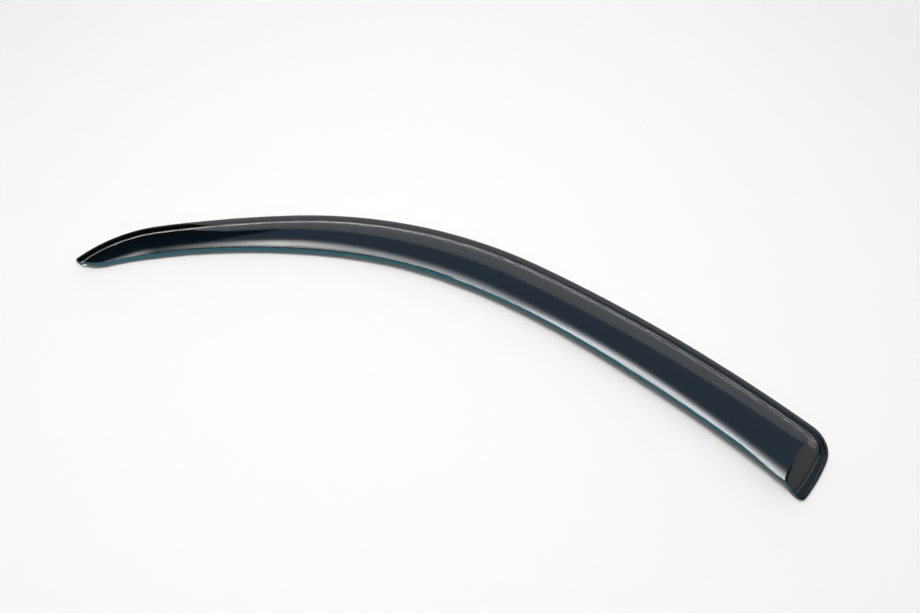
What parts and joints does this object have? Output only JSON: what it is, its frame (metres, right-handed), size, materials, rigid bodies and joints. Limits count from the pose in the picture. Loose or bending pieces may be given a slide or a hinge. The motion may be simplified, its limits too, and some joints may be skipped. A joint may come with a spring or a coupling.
{
  "type": "window rain deflector",
  "caption": "Arched tinted acrylic rain deflector for a car door window: flat taped flange, stepped and crowned panel, pointed nose and wrapped rear end.",
  "frame": {"origin": "middle of the outline seen from above, on the face of the mounting tape", "axes": "+X from the pointed nose to the wide rear end along the chord, +Y towards the arch of the door frame, +Z outwards from the door"},
  "size_m": [0.9992, 0.2686, 0.0204],
  "materials": {
    "tinted_acrylic": "polished dark smoke tint, pale at the cut edge",
    "foam_tape": "matt black acrylic foam"
  },
  "bodies": {
    "root": {"visor": "tinted_acrylic", "mounting_tape": "foam_tape"}
  },
  "joints": []
}
